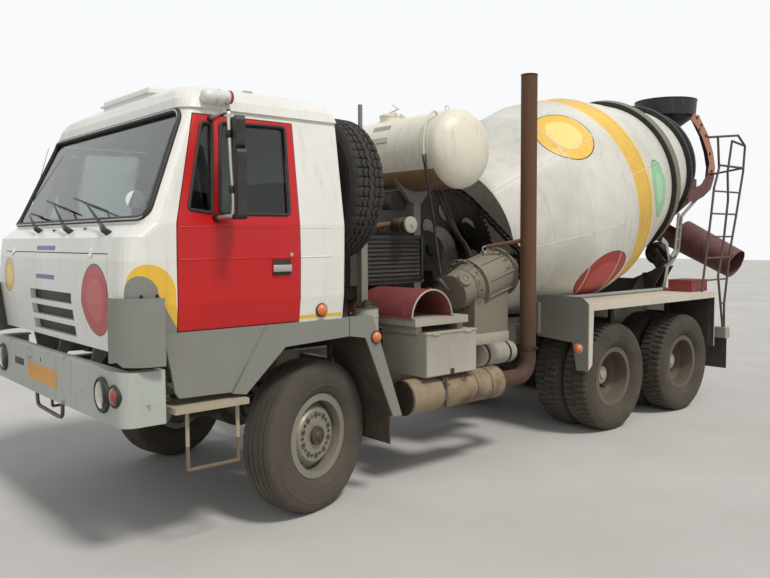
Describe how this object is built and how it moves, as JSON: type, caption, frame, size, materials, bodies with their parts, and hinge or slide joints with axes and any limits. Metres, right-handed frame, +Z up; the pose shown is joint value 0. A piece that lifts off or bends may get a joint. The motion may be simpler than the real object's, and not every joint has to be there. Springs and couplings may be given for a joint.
{
  "type": "concrete mixer truck",
  "caption": "Concrete mixer truck: tilting cab, chain driven inclined drum on rollers, charging hopper, swinging discharge chute, twin rear wheels, spare wheel and water tank behind the cab.",
  "frame": {"origin": "on the ground, below the middle of the bounding box", "axes": "+X points forwards, +Y to the left side of the vehicle, +Z up"},
  "size_m": [8.396, 3.0244, 3.65],
  "materials": {
    "drum_white": "satin",
    "cab_white": "satin",
    "door_red": "satin",
    "skirt_grey": "satin",
    "bumper_grey": "satin",
    "frame_dark": "matt",
    "plant_grey": "matt",
    "black_paint": "satin",
    "maroon_paint": "satin",
    "tank_cream": "satin",
    "casting": "rough",
    "worn_steel": "worn",
    "rusty_steel": "worn",
    "rim_silver": "satin",
    "rim_tan": "satin",
    "rubber": "matt",
    "glass": "clear",
    "cab_trim": "matt",
    "mirror_black": "satin"
  },
  "bodies": {
    "chassis": {"axle_group": "worn_steel", "frame_rails": "frame_dark", "drive_engine": "casting", "bumper": "bumper_grey", "steps": "plant_grey", "rear_mudguards": "skirt_grey", "fuel_tank": "plant_grey", "deck": "plant_grey", "exhaust": "rusty_steel", "spare_chute": "maroon_paint", "spare_tyre": "rubber", "spare_rim": "rim_tan", "portal_frame": "plant_grey", "water_tank": "tank_cream", "mixer_engine": "casting", "gearbox": "casting", "subframe": "plant_grey", "rear_pedestal": "black_paint", "chain": "worn_steel", "rear_fenders": "plant_grey", "rear_beam": "plant_grey", "hopper": "black_paint", "collector": "maroon_paint", "ladder": "rusty_steel", "wash_gear": "maroon_paint"},
    "steer_left": {"knuckle_left": "worn_steel"},
    "steer_right": {"knuckle_right": "worn_steel"},
    "track_rod": {"track_rod": "worn_steel"},
    "wheel_front_left": {"tyre_front_left": "rubber", "rim_front_left": "rim_silver"},
    "wheel_front_right": {"tyre_front_right": "rubber", "rim_front_right": "rim_silver"},
    "wheels_middle_left": {"tyres_middle_left": "rubber", "rims_middle_left": "rim_silver"},
    "wheels_middle_right": {"tyres_middle_right": "rubber", "rims_middle_right": "rim_silver"},
    "wheels_rear_left": {"tyres_rear_left": "rubber", "rims_rear_left": "rim_silver"},
    "wheels_rear_right": {"tyres_rear_right": "rubber", "rims_rear_right": "rim_silver"},
    "drive_sprocket": {"drive_sprocket": "worn_steel"},
    "drum": {"drum_shell": "drum_white", "drum_rings": "black_paint", "drum_sprocket": "worn_steel"},
    "roller_left": {"roller_left": "worn_steel"},
    "roller_right": {"roller_right": "worn_steel"},
    "cab": {"cab_shell": "cab_white", "windscreen": "glass", "cab_skirts": "skirt_grey", "cab_interior": "cab_trim"},
    "service_flap": {"service_flap": "cab_white"},
    "door_left": {"door_left": "door_red", "door_glass_left": "glass", "mirrors_left": "mirror_black"},
    "door_right": {"door_right": "door_red", "door_glass_right": "glass", "mirrors_right": "mirror_black"},
    "swing_chute": {"swing_chute": "black_paint"},
    "chute_extension": {"chute_extension": "maroon_paint"}
  },
  "joints": [
    {"name": "steer_left", "type": "hinge", "parent": "chassis", "child": "steer_left", "pos_m": [2.8, 0.86, 0.522], "axis": [0, 0, 1], "range_deg": [-50.3, 19.7]},
    {"name": "steer_right", "type": "hinge", "parent": "chassis", "child": "steer_right", "pos_m": [2.8, -0.86, 0.522], "axis": [0, 0, 1], "range_deg": [-50.3, 19.7]},
    {"name": "track_rod_swing", "type": "hinge", "parent": "steer_left", "child": "track_rod", "pos_m": [2.61591, 0.73707, 0.45], "axis": [0, 0, 1], "range_deg": [-23, 56]},
    {"name": "wheel_front_left_spin", "type": "hinge", "parent": "steer_left", "child": "wheel_front_left", "pos_m": [2.7675, 0.9786, 0.522], "axis": [-0.2639, 0.9646, 0], "continuous": true},
    {"name": "wheel_front_right_spin", "type": "hinge", "parent": "steer_right", "child": "wheel_front_right", "pos_m": [2.8325, -0.9786, 0.522], "axis": [-0.2639, 0.9646, 0], "continuous": true},
    {"name": "wheels_middle_left_spin", "type": "hinge", "parent": "chassis", "child": "wheels_middle_left", "pos_m": [-0.75, 0.887, 0.522], "axis": [0, 1, 0], "continuous": true},
    {"name": "wheels_middle_right_spin", "type": "hinge", "parent": "chassis", "child": "wheels_middle_right", "pos_m": [-0.75, -0.887, 0.522], "axis": [0, 1, 0], "continuous": true},
    {"name": "wheels_rear_left_spin", "type": "hinge", "parent": "chassis", "child": "wheels_rear_left", "pos_m": [-2.07, 0.887, 0.522], "axis": [0, 1, 0], "continuous": true},
    {"name": "wheels_rear_right_spin", "type": "hinge", "parent": "chassis", "child": "wheels_rear_right", "pos_m": [-2.07, -0.887, 0.522], "axis": [0, 1, 0], "continuous": true},
    {"name": "drum_spin", "type": "hinge", "parent": "chassis", "child": "drum", "pos_m": [-0.584, 0, 2.086], "axis": [-0.9642, 0, 0.2651], "continuous": true},
    {"name": "drive_sprocket_spin", "type": "hinge", "parent": "chassis", "child": "drive_sprocket", "pos_m": [0.27971, 0.77997, 1.6439], "axis": [-0.9642, 0, 0.2651], "continuous": true},
    {"name": "roller_left_spin", "type": "hinge", "parent": "chassis", "child": "roller_left", "pos_m": [-2.56201, 0.56463, 1.69261], "axis": [-0.9642, 0, 0.2651], "continuous": true},
    {"name": "roller_right_spin", "type": "hinge", "parent": "chassis", "child": "roller_right", "pos_m": [-2.56201, -0.56463, 1.69261], "axis": [-0.9642, 0, 0.2651], "continuous": true},
    {"name": "cab_tilt", "type": "hinge", "parent": "chassis", "child": "cab", "pos_m": [4.1, 0, 0.985], "axis": [0, 1, 0], "range_deg": [0, 38]},
    {"name": "door_left_hinge", "type": "hinge", "parent": "cab", "child": "door_left", "pos_m": [3.818, 1.248, 1.9], "axis": [0, 0, -1], "range_deg": [0, 70]},
    {"name": "door_right_hinge", "type": "hinge", "parent": "cab", "child": "door_right", "pos_m": [3.818, -1.248, 1.9], "axis": [0, 0, 1], "range_deg": [0, 70]},
    {"name": "service_flap_hinge", "type": "hinge", "parent": "cab", "child": "service_flap", "pos_m": [4.145, 0, 1.797], "axis": [0, -1, 0], "range_deg": [0, 70]},
    {"name": "chute_swing", "type": "hinge", "parent": "chassis", "child": "swing_chute", "pos_m": [-3.64, 0, 1.6], "axis": [0, 0, 1], "range_deg": [0, 180]},
    {"name": "chute_fold", "type": "hinge", "parent": "swing_chute", "child": "chute_extension", "pos_m": [-3.64, 0.99793, 1.54153], "axis": [-1, 0, 0], "range_deg": [0, 170]}
  ],
  "couplings": [
    {"joint": "steer_right", "follows": "steer_left", "ratio": 1},
    {"joint": "track_rod_swing", "follows": "steer_left", "ratio": -1.083},
    {"joint": "drive_sprocket_spin", "follows": "drum_spin", "ratio": 4.25},
    {"joint": "roller_left_spin", "follows": "drum_spin", "ratio": -7.52},
    {"joint": "roller_right_spin", "follows": "drum_spin", "ratio": -7.52}
  ]
}
